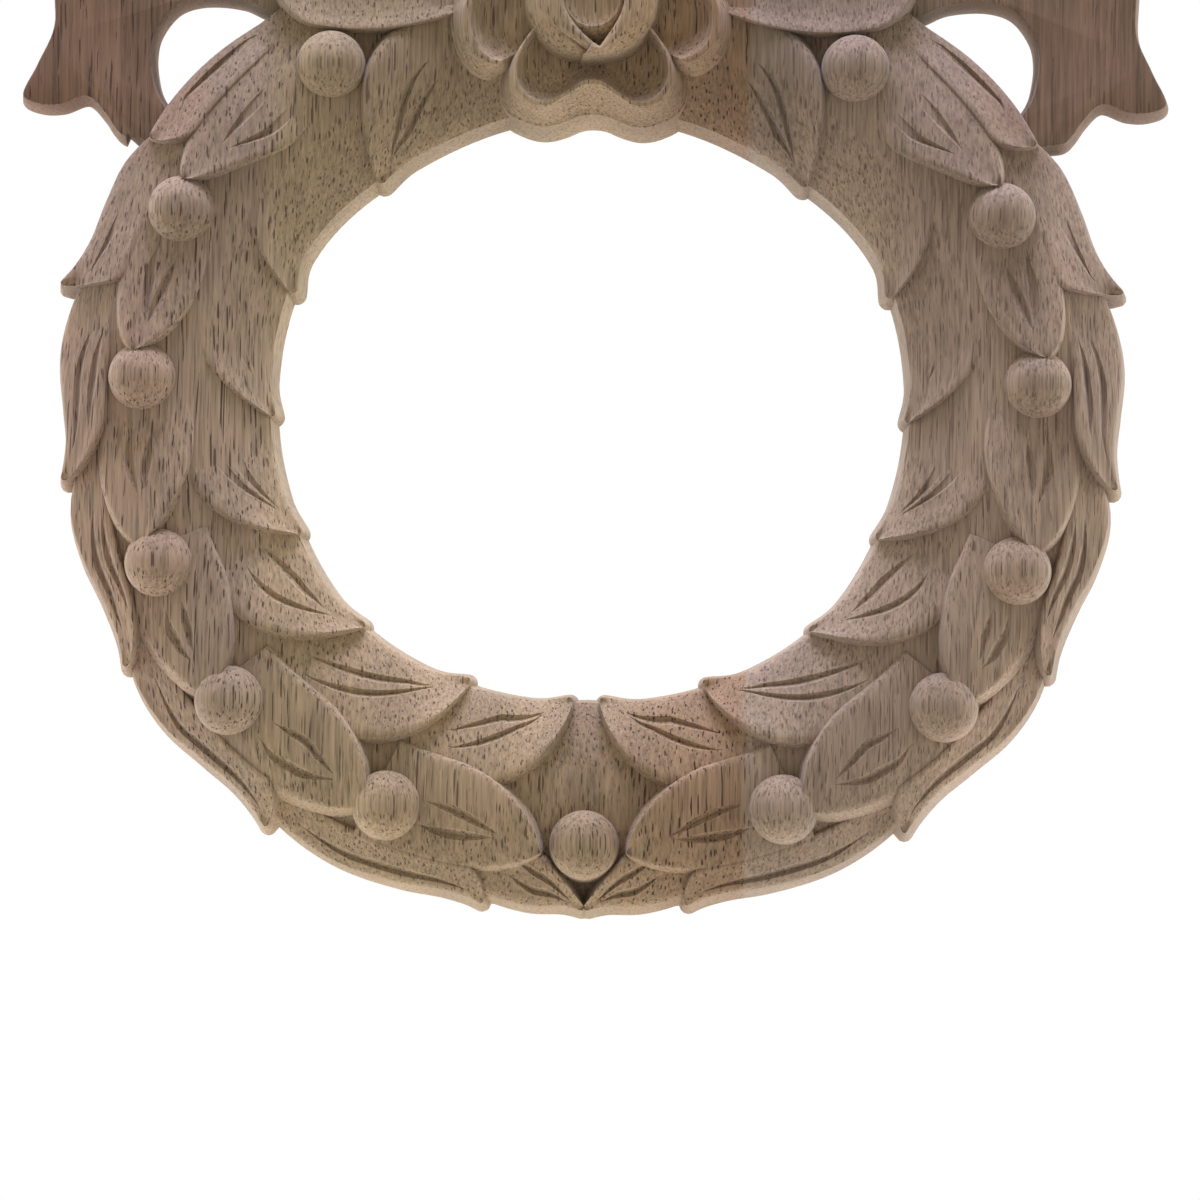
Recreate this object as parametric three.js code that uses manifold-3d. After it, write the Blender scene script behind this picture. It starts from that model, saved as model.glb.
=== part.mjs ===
// Carved laurel wreath applique: one piece of wood with a flat back.
// Millimetres, +Z up, the carving faces -Y. The origin is on the back, behind the middle of the rose.

import * as THREE from 'three';
import { mergeVertices } from 'three/addons/utils/BufferGeometryUtils.js';
import Module from 'manifold-3d';

const wasm = await Module();
wasm.setup();

// Driving sizes

const ringRadius = 75; // outer radius of the leaf ring at its back, at mid height
const roseAboveRing = 0.707 * ringRadius; // from the middle of the ring up to the middle of the rose
const edgeThickness = 8; // wood at the inner and outer rim of the ring
const crownThickness = 13.5; // wood along the middle row of leaves
const coreDepth = 2.6; // how far the ground between the leaves lies below them
const wallSlope = 0.2; // the tapered cutter leans every wall outward by this much per mm
const leafRise = 3.2; // each leaf climbs this much from its root to its tip
const leafDish = 0.5; // hollow across a leaf
const veinDepth = 0.8;
const veinWidth = 1.5;
const berryRadius = 4.75;
const berryThickness = crownThickness + 2.1; // wood through the top of a berry
const roseRadius = 20.4;
const petalRimThickness = 16.4;
const petalCup = 4.4; // how deep each petal is hollowed below its rim
const budRadius = 9.9;
const budThickness = petalRimThickness + 2.6;
const ribbonThickness = 6.2;
const loopThickness = 12; // wood along the edges of a bow loop
const loopPuff = 2.4; // how far the middle of a loop swells above its edges
const loopLength = 36;
const loopWidth = 25;

// Wreath outline

// The wreath is a little fuller at its lower sides than a circle. Each guide gives a radius, as a share of
// ringRadius, at these angles from the top of the ring.
const guideAngles = [0, 20, 40, 65, 90, 115, 135, 155, 180];
const guides = {
  rim: [0.93, 0.93, 0.937, 0.973, 1.0, 1.009, 1.028, 1.016, 0.995],
  outerLeafRoot: [0.85, 0.85, 0.855, 0.871, 0.895, 0.937, 0.952, 0.941, 0.92],
  middleLeafOut: [0.86, 0.86, 0.867, 0.884, 0.908, 0.949, 0.964, 0.953, 0.93],
  berry: [0.76, 0.76, 0.76, 0.818, 0.83, 0.871, 0.897, 0.877, 0.867],
  middleLeafIn: [0.69, 0.69, 0.703, 0.744, 0.733, 0.764, 0.775, 0.757, 0.747],
  innerLeafOut: [0.74, 0.75, 0.745, 0.749, 0.755, 0.785, 0.806, 0.804, 0.78],
  hole: [0.51, 0.51, 0.525, 0.563, 0.588, 0.6, 0.613, 0.6, 0.59],
};

// Angles from the top of the ring at which the tips of each row and the berries lie, on each side.
const outerTips = [62.3, 80, 101.3, 122.3, 144.7, 169, 180.6];
const middleTips = [64.4, 87.2, 111, 130.7, 153, 174.8];
const innerTips = [47.3, 74, 97, 118.5, 138.3, 159, 178];
const berryAngles = [40, 68, 90.4, 113.9, 132.5, 155.3, 180];

// How blunt each outer leaf ends, in degrees of the ring, and how high it lies on its neighbours.
const outerEndLength = [5, 2.5, 7, 8, 3, 2.5, 6];
const outerLift = [-0.6, -0.6, 0.4, 0.4, -0.6, -0.6, -0.6];
const leafSpan = 32; // length of a leaf in degrees of the ring, with the root that its neighbour covers
const leafPitch = 23;

const radians = THREE.MathUtils.degToRad;

function guideRadius(name, angle) {
  const shares = guides[name];
  const last = guideAngles.length - 1;
  const reach = angle > 180 ? 360 - angle : angle;
  let i = 0;
  while (i < last - 1 && guideAngles[i + 1] < reach) i += 1;
  const t = (reach - guideAngles[i]) / (guideAngles[i + 1] - guideAngles[i]);
  const slopeAt = (j) => {
    const before = Math.max(j - 1, 0);
    const after = Math.min(j + 1, last);
    return (shares[after] - shares[before]) / (guideAngles[after] - guideAngles[before]);
  };
  const width = guideAngles[i + 1] - guideAngles[i];
  const h00 = 2 * t ** 3 - 3 * t ** 2 + 1;
  const h10 = t ** 3 - 2 * t ** 2 + t;
  const h01 = 3 * t ** 2 - 2 * t ** 3;
  const h11 = t ** 3 - t ** 2;
  const share = h00 * shares[i] + h10 * width * slopeAt(i) + h01 * shares[i + 1] + h11 * width * slopeAt(i + 1);
  return share * ringRadius;
}

// The rim and hole guides give the back. The tapered walls set the upper edges in from them.
const wallLean = wallSlope * edgeThickness;
const rimTop = (angle) => guideRadius('rim', angle) - wallLean;
const holeTop = (angle) => guideRadius('hole', angle) + wallLean;

// Thickness of the wreath before the leaves are cut: low at both rims and full in the middle.
function crownAt(radius, angle) {
  const inner = holeTop(angle);
  const across = (radius - inner) / (rimTop(angle) - inner);
  const fromMiddle = Math.min(Math.abs(2 * across - 1), 1);
  return edgeThickness + (crownThickness - edgeThickness) * (1 - fromMiddle ** 2.2);
}

// A point on the ring as [across, up, thickness], measured from the middle of the rose.
function ringPoint(radius, angle, thickness) {
  const a = radians(angle);
  return [-radius * Math.sin(a), radius * Math.cos(a) - roseAboveRing, thickness];
}

// Solids

// Every block is made this much too deep, and the flat back is then cut through all of them at once.
const backAllowance = 1;

function toSolid(positions, indices) {
  let geometry = new THREE.BufferGeometry();
  geometry.setAttribute('position', new THREE.Float32BufferAttribute(positions, 3));
  geometry.setIndex(indices);
  geometry = mergeVertices(geometry, 1e-5);
  return new wasm.Manifold(new wasm.Mesh({
    numProp: 3,
    vertProperties: new Float32Array(geometry.attributes.position.array),
    triVerts: new Uint32Array(geometry.index.array),
  }));
}

// Outline points moved outward by a distance each, for the foot of a leaning wall.
function outset(outline, distances) {
  const count = outline.length;
  const normal = (p, q) => {
    const length = Math.hypot(q[0] - p[0], q[1] - p[1]) || 1;
    return [(q[1] - p[1]) / length, (p[0] - q[0]) / length];
  };
  return outline.map((point, i) => {
    const n1 = normal(outline[(i + count - 1) % count], point);
    const n2 = normal(point, outline[(i + 1) % count]);
    const sum = [n1[0] + n2[0], n1[1] + n2[1]];
    const dot = Math.max((sum[0] ** 2 + sum[1] ** 2) / 2, 0.8);
    return [point[0] + (distances[i] * sum[0]) / dot, point[1] + (distances[i] * sum[1]) / dot];
  });
}

// A block with a flat back, leaning walls and a carved top given as rows of [across, up, thickness].
// A row of one point closes the block there to a tip.
function carvedBlock(rows) {
  const top = rows.flat();
  const starts = [];
  rows.reduce((sum, row) => {
    starts.push(sum);
    return sum + row.length;
  }, 0);
  const last = rows.length - 1;
  const rim = [];
  rows.forEach((row, i) => rim.push(starts[i] + row.length - 1));
  if (rows[last].length > 1) rows[last].slice(1).forEach((_, j) => rim.push(starts[last] + rows[last].length - 2 - j));
  for (let i = last - 1; i > 0; i -= 1) rim.push(starts[i]);
  rows[0].slice(0, -1).forEach((_, j) => rim.push(starts[0] + j));
  const area = rim.reduce((sum, v, i) => {
    const w = rim[(i + 1) % rim.length];
    return sum + top[v][0] * top[w][1] - top[w][0] * top[v][1];
  }, 0);
  const turned = area < 0;
  if (turned) rim.reverse();
  const outline = rim.map((v) => top[v]);
  const lean = outline.map((p) => (p[2] + backAllowance) * wallSlope);
  const foot = outset(outline, lean).map((p) => [p[0], p[1], -backAllowance]);

  const indices = [];
  const face = (a, b, c) => indices.push(...(turned ? [a, c, b] : [a, b, c]));
  for (let i = 0; i < last; i += 1) {
    const near = rows[i].length;
    const far = rows[i + 1].length;
    for (let j = 0; j < near - 1; j += 1) {
      const a = starts[i] + j;
      const b = starts[i + 1] + Math.min(j, far - 1);
      const c = starts[i + 1] + Math.min(j + 1, far - 1);
      face(a, a + 1, c);
      if (b !== c) face(a, c, b);
    }
  }
  const count = rim.length;
  for (let i = 0; i < count; i += 1) {
    const next = (i + 1) % count;
    indices.push(rim[i], top.length + next, rim[next], rim[i], top.length + i, top.length + next);
  }
  const contour = foot.map((p) => new THREE.Vector2(p[0], p[1]));
  THREE.ShapeUtils.triangulateShape(contour, []).forEach(([a, b, c]) => {
    indices.push(top.length + a, top.length + c, top.length + b);
  });
  return toSolid([...top, ...foot].flat(), indices);
}

const steps = (count) => Array.from({ length: count + 1 }, (_, i) => i / count);

// A round block turned about its middle, from [radius, thickness] points that run inward.
function turnedBlock(centre, profile, sides) {
  const positions = [];
  const indices = [];
  const foot = [profile[0][0] + (profile[0][1] + backAllowance) * wallSlope, -backAllowance];
  const rings = [foot, ...profile];
  for (const [radius, thickness] of rings) {
    for (let i = 0; i < sides; i += 1) {
      const a = (2 * Math.PI * i) / sides;
      positions.push(centre[0] + radius * Math.cos(a), centre[1] + radius * Math.sin(a), thickness);
    }
  }
  const middleTop = positions.length / 3;
  positions.push(centre[0], centre[1], profile.at(-1)[1]);
  positions.push(centre[0], centre[1], -backAllowance);
  for (let i = 0; i < sides; i += 1) {
    const next = (i + 1) % sides;
    for (let k = 0; k < rings.length - 1; k += 1) {
      const low = k * sides;
      const high = low + sides;
      indices.push(low + i, low + next, high + next, low + i, high + next, high + i);
    }
    const upper = (rings.length - 1) * sides;
    indices.push(upper + i, upper + next, middleTop);
    indices.push(next, i, middleTop + 1);
  }
  return toSolid(positions, indices);
}

// Wreath ground

function wreathCore() {
  const sides = 32;
  const innerInset = 0.3; // the ground stays this far back from the walls of the leaves
  const outerInset = 1.2;
  const footLean = (edgeThickness - coreDepth + backAllowance) * wallSlope;
  const positions = [];
  const indices = [];
  const across = [0, 0.2, 0.5, 0.8, 1];
  const ring = across.length + 2;
  for (let i = 0; i < sides; i += 1) {
    const angle = (360 * i) / sides;
    const inner = holeTop(angle) + innerInset;
    const outer = rimTop(angle) - outerInset;
    positions.push(...ringPoint(inner - footLean, angle, -backAllowance));
    for (const share of across) {
      const radius = inner + (outer - inner) * share;
      positions.push(...ringPoint(radius, angle, crownAt(radius, angle) - coreDepth));
    }
    positions.push(...ringPoint(outer + footLean, angle, -backAllowance));
  }
  for (let i = 0; i < sides; i += 1) {
    const next = (i + 1) % sides;
    for (let k = 0; k < ring; k += 1) {
      const a = i * ring + k;
      const b = i * ring + ((k + 1) % ring);
      const c = next * ring + ((k + 1) % ring);
      const d = next * ring + k;
      indices.push(a, b, c, a, c, d);
    }
  }
  return toSolid(positions, indices);
}

// Leaves

// How wide open a leaf is at a distance from its tip: a pointed arch that is full at the given length.
function opening(fromTip, length, bluntness) {
  const x = Math.min(Math.max(fromTip / length, 0), 1);
  return (1 - (1 - x) ** 2) ** bluntness;
}

// One leaf from its covered root to its tip. edges(fromTip) gives the two radii at a distance from the tip.
function leaf(tipAngle, edges, lift, veins) {
  const rowCount = 6;
  const rows = [];
  for (let i = 0; i < rowCount; i += 1) {
    const fromTip = leafSpan * (1 - i / rowCount) ** 1.35;
    const angle = tipAngle - fromTip;
    const [inner, outer] = edges(fromTip);
    const width = outer - inner;
    const along = (fromTip - veins.end) / (veins.start - veins.end);
    const veinSize = along > 0 && along < 1 ? Math.sin(Math.PI * along) ** 0.6 : 0;
    const half = (veinWidth / 2 / width) * Math.max(veinSize, 0.15);
    const columns = [[0, 0], [veins.places[0] - half, 0]];
    veins.places.forEach((place, j) => {
      const next = veins.places[j + 1];
      columns.push([place, veinDepth * veinSize], [next ? (place + next) / 2 : place + half, 0]);
    });
    columns.push([1, 0]);
    rows.push(columns.map(([share, cut]) => {
      const radius = inner + width * share;
      const climb = lift + leafRise * (0.5 - fromTip / leafPitch);
      const dish = leafDish * (1 - (2 * share - 1) ** 2);
      return ringPoint(radius, angle, crownAt(radius, angle) + climb - dish - cut);
    }));
  }
  const [inner, outer] = edges(0);
  const tip = (inner + outer) / 2;
  rows.push([ringPoint(tip, tipAngle, crownAt(tip, tipAngle) + lift + leafRise / 2)]);
  return carvedBlock(rows);
}

const middleVeins = { places: [0.4, 0.64], start: 20, end: 4 };
const innerVeins = { places: [0.42, 0.6], start: 16, end: 3.5 };
const outerVeins = { places: [0.56], start: 19, end: 3 };
const tipFlare = 1.9;
const tipFlareLength = 3.5;

function flareAt(fromTip) {
  return tipFlare * Math.max(1 - fromTip / tipFlareLength, 0) ** 2;
}

function outerLeaf(index) {
  const tipAngle = outerTips[index];
  const edges = (fromTip) => {
    const angle = tipAngle - fromTip;
    const rim = rimTop(angle) + flareAt(fromTip);
    const root = guideRadius('outerLeafRoot', angle);
    return [rim - (rim - root) * opening(fromTip, outerEndLength[index], 0.65), rim];
  };
  return leaf(tipAngle, edges, outerLift[index], outerVeins);
}

function middleLeaf(index) {
  const tipAngle = middleTips[index];
  const berryRow = guideRadius('berry', berryAngles[index + 1]);
  const tipRadius = berryRow + 0.3 * berryRadius;
  const edges = (fromTip) => {
    const angle = tipAngle - fromTip;
    const open = opening(fromTip, 13.5, 0.65);
    const inner = guideRadius('middleLeafIn', angle);
    const outer = guideRadius('middleLeafOut', angle);
    return [tipRadius - (tipRadius - inner) * open, tipRadius + (outer - tipRadius) * open];
  };
  return leaf(tipAngle, edges, 0, middleVeins);
}

function innerLeaf(index) {
  const tipAngle = innerTips[index];
  const edges = (fromTip) => {
    const angle = tipAngle - fromTip;
    const rim = holeTop(angle) - 0.3 * flareAt(fromTip);
    const out = guideRadius('innerLeafOut', angle);
    return [rim, rim + (out - rim) * opening(fromTip, 15, 0.68)];
  };
  return leaf(tipAngle, edges, -0.4, innerVeins);
}

// Section of a berry, as [radius, depth below its top], both as shares of berryRadius.
const berrySection = [[1, 0.62], [0.86, 0.24], [0.5, 0.03]];
const berrySides = 10;

function berry(angle) {
  const middle = ringPoint(guideRadius('berry', angle), angle, 0);
  const profile = berrySection.map(([r, depth]) => [r * berryRadius, berryThickness - depth * berryRadius]);
  return turnedBlock(middle, profile, berrySides);
}

// Rose

const smoothStep = (x) => THREE.MathUtils.smoothstep(x, 0, 1);

// One cupped petal, pointing along the given direction from the middle of the rose. Its rim dips between two lobes.
const petalHalfWidth = 52; // degrees about the middle of the rose
const petalRim = 0.91; // radius of the raised rim as a share of the petal's outer edge
const rimShoulder = 0.4; // half the width of the rim's flat top
const hollowSection = [[0.74, 1], [0.88, 0.7]]; // [share of the rim radius, share of the cup depth]

function petal({ direction, size, dip, lobeTurn, drop }) {
  const rows = [];
  for (const turn of [-52, -46, -34, -18, 0, 18, 34, 46, 52]) {
    const off = Math.abs(turn);
    const past = Math.max(off - lobeTurn, 0) / (petalHalfWidth - lobeTurn);
    const sag = dip * (1 - smoothStep(off / lobeTurn));
    const rim = roseRadius * size * (petalRim - sag - 0.16 * past ** 2);
    const edge = roseRadius * size * (1 - 0.5 * sag - 0.1 * past ** 2);
    const cup = off === petalHalfWidth ? 0 : petalCup;
    const a = radians(direction + turn);
    const at = (radius, thickness) => [radius * Math.cos(a), radius * Math.sin(a), thickness - drop];
    rows.push([
      at(roseRadius * 0.1, petalRimThickness - cup),
      ...hollowSection.map(([share, depth]) => at(rim * share, petalRimThickness - cup * depth)),
      at(rim - rimShoulder, petalRimThickness),
      at(rim + rimShoulder, petalRimThickness),
      at(rim + (edge - rim) * 0.6, petalRimThickness * 0.6 + edgeThickness * 0.4),
      at(edge, edgeThickness + 1),
    ]);
  }
  return carvedBlock(rows);
}

// The bud in the middle: a tube of petals round a small heart, as [share of budRadius, mm below its top].
const budSection = [
  [1, budThickness - petalRimThickness + petalCup + 1], [0.96, 2.4], [0.84, 0], [0.72, 0],
  [0.39, 1.6], [0.36, 4], [0.3, 4], [0.27, 1],
];
const budSides = 16;

function bud() {
  return turnedBlock([0, 0], budSection.map(([r, depth]) => [r * budRadius, budThickness - depth]), budSides);
}

// From the lowest petal to the one in front.
const petals = [
  { direction: 120, size: 0.98, dip: 0.1, lobeTurn: 20, drop: 1.6 },
  { direction: 60, size: 0.98, dip: 0.1, lobeTurn: 20, drop: 1.2 },
  { direction: 192, size: 1.02, dip: 0.1, lobeTurn: 20, drop: 0.8 },
  { direction: 348, size: 1.02, dip: 0.1, lobeTurn: 20, drop: 0.8 },
  { direction: 270, size: 0.93, dip: 0.31, lobeTurn: 30, drop: 0 },
];

// Ribbons

// Outline of a ribbon tail, from the knot along its upper edge, round its cut end and back along the gap.
// Points are [across, up] from the middle of the ring, as shares of ringRadius.
const tailOutline = [
  [-0.34, 0.82], [-0.6, 0.9], [-0.8, 0.925], [-0.96, 0.9], [-1.02, 0.83], [-1.015, 0.74], [-1.015, 0.66],
  [-1.045, 0.59], [-1.07, 0.53], [-1.04, 0.515], [-1.0, 0.515], [-0.95, 0.535], [-0.91, 0.51],
  [-0.87, 0.475], [-0.8, 0.44], [-0.76, 0.5], [-0.83, 0.555], [-0.838, 0.61], [-0.83, 0.66],
  [-0.79, 0.715], [-0.74, 0.733], [-0.66, 0.727], [-0.6, 0.7], [-0.4, 0.7],
];

const tailDivisions = 60;

function smoothOutline(points, divisions) {
  const curve = new THREE.CatmullRomCurve3(points.map(([x, y]) => new THREE.Vector3(x, y, 0)), true, 'centripetal');
  return curve.getPoints(divisions).slice(0, -1);
}

function flatBlock(outline, thickness) {
  const counterClockwise = THREE.ShapeUtils.area(outline) > 0 ? outline : outline.slice().reverse();
  const lean = (thickness + backAllowance) * wallSlope;
  const foot = outset(counterClockwise.map((p) => [p.x, p.y]), outline.map(() => lean));
  const positions = [];
  counterClockwise.forEach((p) => positions.push(p.x, p.y, thickness));
  foot.forEach((p) => positions.push(p[0], p[1], -backAllowance));
  const count = outline.length;
  const indices = [];
  THREE.ShapeUtils.triangulateShape(counterClockwise, []).forEach(([a, b, c]) => {
    indices.push(a, b, c);
    indices.push(count + a, count + c, count + b);
  });
  for (let i = 0; i < count; i += 1) {
    const next = (i + 1) % count;
    indices.push(i, count + next, next, i, count + i, count + next);
  }
  return toSolid(positions, indices);
}

function ribbonTail() {
  const points = tailOutline.map(([x, y]) => [x * ringRadius, y * ringRadius - roseAboveRing]);
  return flatBlock(smoothOutline(points, tailDivisions), ribbonThickness);
}

// A puffed bow loop that leaves the rose sideways and a little upward.
const roundEnd = 0.75; // share of the loop's length at which its outer end starts to round off

function bowLoop() {
  const tilt = radians(8);
  const root = [-0.54 * roseRadius, 0.27 * roseRadius];
  const rows = [];
  for (const share of steps(8)) {
    const swell = 0.55 + 0.45 * Math.sin(Math.PI * share * 0.9) ** 0.8;
    const intoEnd = Math.max((share - roundEnd) / (1 - roundEnd), 0);
    const closing = Math.sqrt(1 - 0.97 * intoEnd ** 2);
    const row = [];
    for (const across of [-1, -0.7, 0, 0.7, 1]) {
      const along = share * loopLength;
      const side = (across * loopWidth * swell * closing) / 2;
      const x = root[0] - along * Math.cos(tilt) - side * Math.sin(tilt);
      const y = root[1] + along * Math.sin(tilt) - side * Math.cos(tilt);
      row.push([x, y, loopThickness + loopPuff * (1 - across ** 2) - share]);
    }
    rows.push(row);
  }
  return carvedBlock(rows);
}

// The same block on the other side of the wreath.
function mirrored(solid) {
  const { vertProperties, triVerts } = solid.getMesh();
  const positions = Array.from(vertProperties, (value, i) => (i % 3 === 0 ? -value : value));
  return toSolid(positions, Array.from(triVerts).reverse());
}

// What the saw takes off to leave the flat back.
function backWaste() {
  const size = 4 * ringRadius;
  const slab = new THREE.BoxGeometry(size, size, 2 * backAllowance);
  slab.translate(0, 0, -backAllowance);
  slab.deleteAttribute('normal');
  slab.deleteAttribute('uv');
  const merged = mergeVertices(slab);
  return toSolid(Array.from(merged.attributes.position.array), Array.from(merged.index.array));
}

// Assembly

const leftHalf = [];
outerTips.forEach((_, i) => leftHalf.push(outerLeaf(i)));
middleTips.forEach((_, i) => leftHalf.push(middleLeaf(i)));
innerTips.forEach((_, i) => leftHalf.push(innerLeaf(i)));
berryAngles.slice(0, -1).forEach((angle) => leftHalf.push(berry(angle)));
leftHalf.push(ribbonTail(), bowLoop());

const centred = [wreathCore(), berry(berryAngles.at(-1)), bud()];
petals.forEach((shape) => centred.push(petal(shape)));

const blocks = [...leftHalf, ...leftHalf.map(mirrored), ...centred];
const whole = blocks.reduce((sum, solid) => sum.add(solid)).subtract(backWaste());

const mesh = whole.getMesh();
const geometry = new THREE.BufferGeometry();
geometry.setAttribute('position', new THREE.BufferAttribute(new Float32Array(mesh.vertProperties), 3));
geometry.setIndex(new THREE.BufferAttribute(new Uint32Array(mesh.triVerts), 1));
geometry.rotateX(Math.PI / 2);
geometry.computeVertexNormals();

const wood = new THREE.MeshStandardMaterial({ color: 0xa08c74, roughness: 0.72, metalness: 0 });
const wreath = new THREE.Mesh(geometry, wood);
wreath.name = 'wreath_applique';

const group = new THREE.Group();
group.add(wreath);

export default group;
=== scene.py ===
# %% [markdown]
# # A carved wreath for a cupboard door
#
# This is a wreath of laurel leaves with berries, a rose and a ribbon bow, carved from one pale hardwood
# board. Such a piece is glued to furniture, so its back is flat and it stays unpainted until it is finished
# with the rest. We start from the imported CAD model, which fixes where everything sits, and carve the fine
# surface here.

# %% Load the frame
import math

import bpy
import numpy as np
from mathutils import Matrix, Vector


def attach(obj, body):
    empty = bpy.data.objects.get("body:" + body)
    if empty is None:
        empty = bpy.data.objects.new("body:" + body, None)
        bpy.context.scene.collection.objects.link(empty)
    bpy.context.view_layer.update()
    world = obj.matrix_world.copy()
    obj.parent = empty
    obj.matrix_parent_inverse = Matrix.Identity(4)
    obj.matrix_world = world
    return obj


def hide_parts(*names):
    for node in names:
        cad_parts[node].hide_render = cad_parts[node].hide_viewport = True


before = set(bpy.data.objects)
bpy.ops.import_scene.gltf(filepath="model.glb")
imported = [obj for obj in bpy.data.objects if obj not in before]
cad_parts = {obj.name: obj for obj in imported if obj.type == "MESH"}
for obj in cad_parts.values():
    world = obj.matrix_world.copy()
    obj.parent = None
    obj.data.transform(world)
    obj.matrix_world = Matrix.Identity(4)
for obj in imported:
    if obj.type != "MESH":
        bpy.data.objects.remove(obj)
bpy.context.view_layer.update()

# %% [markdown]
# ## Camera
#
# The wreath is seen from in front and a little below, so the undersides of the leaves and of the ribbon
# show. A long lens keeps the circle round. The camera looks at a point low in the ring, which leaves white
# below it and lets the frame cut through the bow. It is turned by a fraction of a degree, as a hand-held
# picture would be.

# %% Place the camera
MM = 0.001
camera_place = Vector((24.5, -1001.0, -162.1)) * MM
camera_aim = Vector((1.57, 0.0, -83.1)) * MM
frame_width = 168.55 * MM
camera_data = bpy.data.cameras.new("camera")
camera_data.sensor_width = 36
distance = (camera_aim - camera_place).length
camera_data.lens = camera_data.sensor_width * distance / frame_width
camera = bpy.data.objects.new("camera", camera_data)
bpy.context.scene.collection.objects.link(camera)
camera.location = camera_place
facing = (camera_aim - camera_place).to_track_quat("-Z", "Y").to_matrix().to_4x4()
tilt = math.radians(0.67)
camera.rotation_euler = facing.to_euler()
camera.rotation_euler.rotate_axis("Z", tilt)
bpy.context.scene.camera = camera
print("lens in mm:", round(camera_data.lens, 1), "distance in m:", round(distance, 3))

# %% [markdown]
# ## The guides of the ring
#
# A carver draws a few circles on the board before cutting: the outer rim, the rows where the leaves start
# and end, the line of the berries and the edge of the hole. Here each guide is a list of radii at a few
# angles, counted from the top of the ring, and a smooth curve joins them. The ring is a little fuller at
# its lower sides than a circle.

# %% Guides
RING = 75.0
ROSE_ABOVE_RING = 0.707 * RING
EDGE = 8.0
CROWN = 13.5
LEAN = 0.1
guide_angles = np.array([0, 20, 40, 65, 90, 115, 135, 155, 180.0])
guides = {
    "rim": [0.93, 0.93, 0.937, 0.973, 1.0, 1.009, 1.028, 1.016, 0.995],
    "outer root": [0.85, 0.85, 0.855, 0.871, 0.895, 0.937, 0.952, 0.941, 0.92],
    "middle out": [0.86, 0.86, 0.867, 0.884, 0.908, 0.949, 0.964, 0.953, 0.93],
    "berry": [0.76, 0.76, 0.76, 0.818, 0.83, 0.871, 0.897, 0.877, 0.867],
    "middle in": [0.69, 0.69, 0.703, 0.744, 0.733, 0.764, 0.775, 0.757, 0.747],
    "inner out": [0.74, 0.75, 0.745, 0.749, 0.755, 0.785, 0.806, 0.804, 0.78],
    "hole": [0.51, 0.51, 0.525, 0.571, 0.586, 0.6, 0.613, 0.603, 0.588],
}


def guide(name, angle):
    shares = np.array(guides[name])
    slopes = np.gradient(shares, np.arange(len(shares)))
    spans = np.empty(len(shares))
    spans[1:-1] = guide_angles[2:] - guide_angles[:-2]
    spans[0] = guide_angles[1] - guide_angles[0]
    spans[-1] = guide_angles[-1] - guide_angles[-2]
    slopes[1:-1] *= 2
    slopes /= spans
    reach = 360 - angle if angle > 180 else angle
    i = min(max(int(np.searchsorted(guide_angles, reach, side="right")) - 1, 0), len(shares) - 2)
    span = guide_angles[i + 1] - guide_angles[i]
    t = (reach - guide_angles[i]) / span
    value = (2 * t**3 - 3 * t**2 + 1) * shares[i] + (t**3 - 2 * t**2 + t) * span * slopes[i]
    value += (3 * t**2 - 2 * t**3) * shares[i + 1] + (t**3 - t**2) * span * slopes[i + 1]
    return value * RING


def along(table, at):
    """A smooth value between the entries of a table of (place, value)."""
    places, values = zip(*table)
    slopes = np.gradient(values, places)
    i = min(max(int(np.searchsorted(places, at, side="right")) - 1, 0), len(places) - 2)
    span = places[i + 1] - places[i]
    t = min(max((at - places[i]) / span, 0), 1)
    value = (2 * t**3 - 3 * t**2 + 1) * values[i] + (t**3 - 2 * t**2 + t) * span * slopes[i]
    return value + (3 * t**2 - 2 * t**3) * values[i + 1] + (t**3 - t**2) * span * slopes[i + 1]


print("guides:", ", ".join(guides), "- rim radius at the sides in mm:", round(guide("rim", 90), 1))

# %% [markdown]
# ## The crown of the ring
#
# In section, the ring is a low arch that stands on two nearly upright walls. One function gives the height
# of this arch at any radius and angle, so that every leaf can be laid on it. A place on the ring is given
# by its radius and by its angle from the top, and is turned into across, up and thickness here.

# %% Crown
def rim_top(angle):
    return guide("rim", angle) - LEAN * EDGE


def hole_top(angle):
    return guide("hole", angle) + LEAN * EDGE


def crown(radius, angle):
    inner = hole_top(angle)
    across = (radius - inner) / (rim_top(angle) - inner)
    return EDGE + (CROWN - EDGE) * (1 - min(abs(2 * across - 1), 1) ** 2.2)


def on_ring(radius, angle, thickness):
    a = math.radians(angle)
    return [-radius * math.sin(a), radius * math.cos(a) - ROSE_ABOVE_RING, thickness]


middle_of_side = (rim_top(90) + hole_top(90)) / 2
print("height of the crown in mm:", round(crown(middle_of_side, 90), 1))

# %% [markdown]
# ## Blocks with leaning walls
#
# A carving machine cuts with a pointed cutter, so every wall leans outward a little toward the back.
# Between two leaves the wall leans more, because the cutter couldn't reach in steeply there. One leaf is
# made as a block: a grid of points for its carved top, and a skirt that leans down past the back of the
# board. The blocks are later joined with Blender's Boolean, which keeps whichever surface is highest, just
# as the cutter leaves it. Points are given as across, up and thickness in millimetres, and stood upright in
# metres when the mesh is made.

# %% Blocks from rows of points
BACK_ALLOWANCE = 1.0
blocks = []


def to_object(name, points, faces):
    mesh = bpy.data.meshes.new(name)
    upright = [(x * MM, -thickness * MM, up * MM) for x, up, thickness in points]
    mesh.from_pydata(upright, [], faces)
    mesh.validate()
    made = bpy.data.objects.new(name, mesh)
    blocks.append(made)
    return made


CALM_ROWS = 14


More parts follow.
